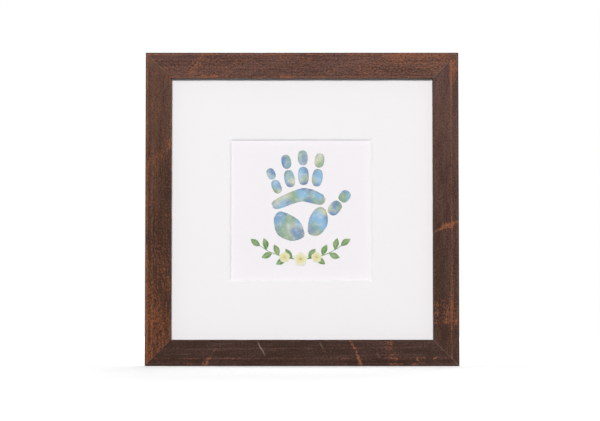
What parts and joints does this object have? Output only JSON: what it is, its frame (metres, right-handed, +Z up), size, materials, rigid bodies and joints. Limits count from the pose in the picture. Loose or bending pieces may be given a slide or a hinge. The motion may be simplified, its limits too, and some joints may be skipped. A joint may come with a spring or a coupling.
{
  "type": "baby handprint frame",
  "caption": "Square dark wooden frame with a wide white window mat around a baby's handprint. Its back has an easel leg, turn buttons and a sawtooth hanger.",
  "frame": {"origin": "middle of the face that the frame stands on, the bottom rail's underside", "axes": "+X to the viewer's right, -Y towards the viewer, +Y through the frame to its back, +Z up"},
  "size_m": [0.2286, 0.024, 0.2286],
  "materials": {
    "stained_wood": "satin",
    "nail_steel": "satin",
    "clear_glass": "polished",
    "mat_board": "matte",
    "art_paper": "matte",
    "paper_tape": "matte",
    "blue_paint": "matte",
    "dried_leaf": "matte",
    "dried_petal": "matte",
    "mount_board": "matte",
    "corrugated_board": "matte",
    "hardboard": "matte",
    "hinge_steel": "satin",
    "rivet_steel": "satin",
    "screw_steel": "satin",
    "hanger_steel": "satin",
    "button_brass": "satin",
    "bumper_rubber": "matte"
  },
  "bodies": {
    "frame": {"top_rail": "stained_wood", "bottom_rail": "stained_wood", "left_rail": "stained_wood", "right_rail": "stained_wood", "corner_nails": "nail_steel", "glass_pane": "clear_glass", "mat_board": "mat_board", "art_sheet": "art_paper", "holding_tapes": "paper_tape", "handprint": "blue_paint", "garland_stems": "dried_leaf", "garland_leaves": "dried_leaf", "garland_blossoms": "dried_petal", "mount_board": "mount_board", "filler_board": "corrugated_board", "back_panel": "hardboard", "panel_hinge_leaf": "hinge_steel", "hinge_pin": "hinge_steel", "panel_rivets": "rivet_steel", "turn_button_screws": "screw_steel", "sawtooth_hanger": "hanger_steel", "hanger_nails": "nail_steel", "wall_bumpers": "bumper_rubber"},
    "easel_leg": {"easel_leg": "hardboard", "leg_hinge_leaf": "hinge_steel", "leg_rivets": "rivet_steel"},
    "turn_button_left_lower": {"turn_button_left_lower": "button_brass"},
    "turn_button_left_upper": {"turn_button_left_upper": "button_brass"},
    "turn_button_right_lower": {"turn_button_right_lower": "button_brass"},
    "turn_button_right_upper": {"turn_button_right_upper": "button_brass"}
  },
  "joints": [
    {"name": "easel_hinge", "type": "hinge", "parent": "frame", "child": "easel_leg", "pos_m": [0, 0.01147, 0.16], "axis": [1, 0, 0], "range_deg": [0, 25]},
    {"name": "turn_button_left_lower_turn", "type": "hinge", "parent": "frame", "child": "turn_button_left_lower", "pos_m": [-0.10835, 0.00953, 0.0663], "axis": [0, 1, 0], "continuous": true},
    {"name": "turn_button_left_upper_turn", "type": "hinge", "parent": "frame", "child": "turn_button_left_upper", "pos_m": [-0.10835, 0.00953, 0.1623], "axis": [0, 1, 0], "continuous": true},
    {"name": "turn_button_right_lower_turn", "type": "hinge", "parent": "frame", "child": "turn_button_right_lower", "pos_m": [0.10835, 0.00953, 0.0663], "axis": [0, 1, 0], "continuous": true},
    {"name": "turn_button_right_upper_turn", "type": "hinge", "parent": "frame", "child": "turn_button_right_upper", "pos_m": [0.10835, 0.00953, 0.1623], "axis": [0, 1, 0], "continuous": true}
  ]
}
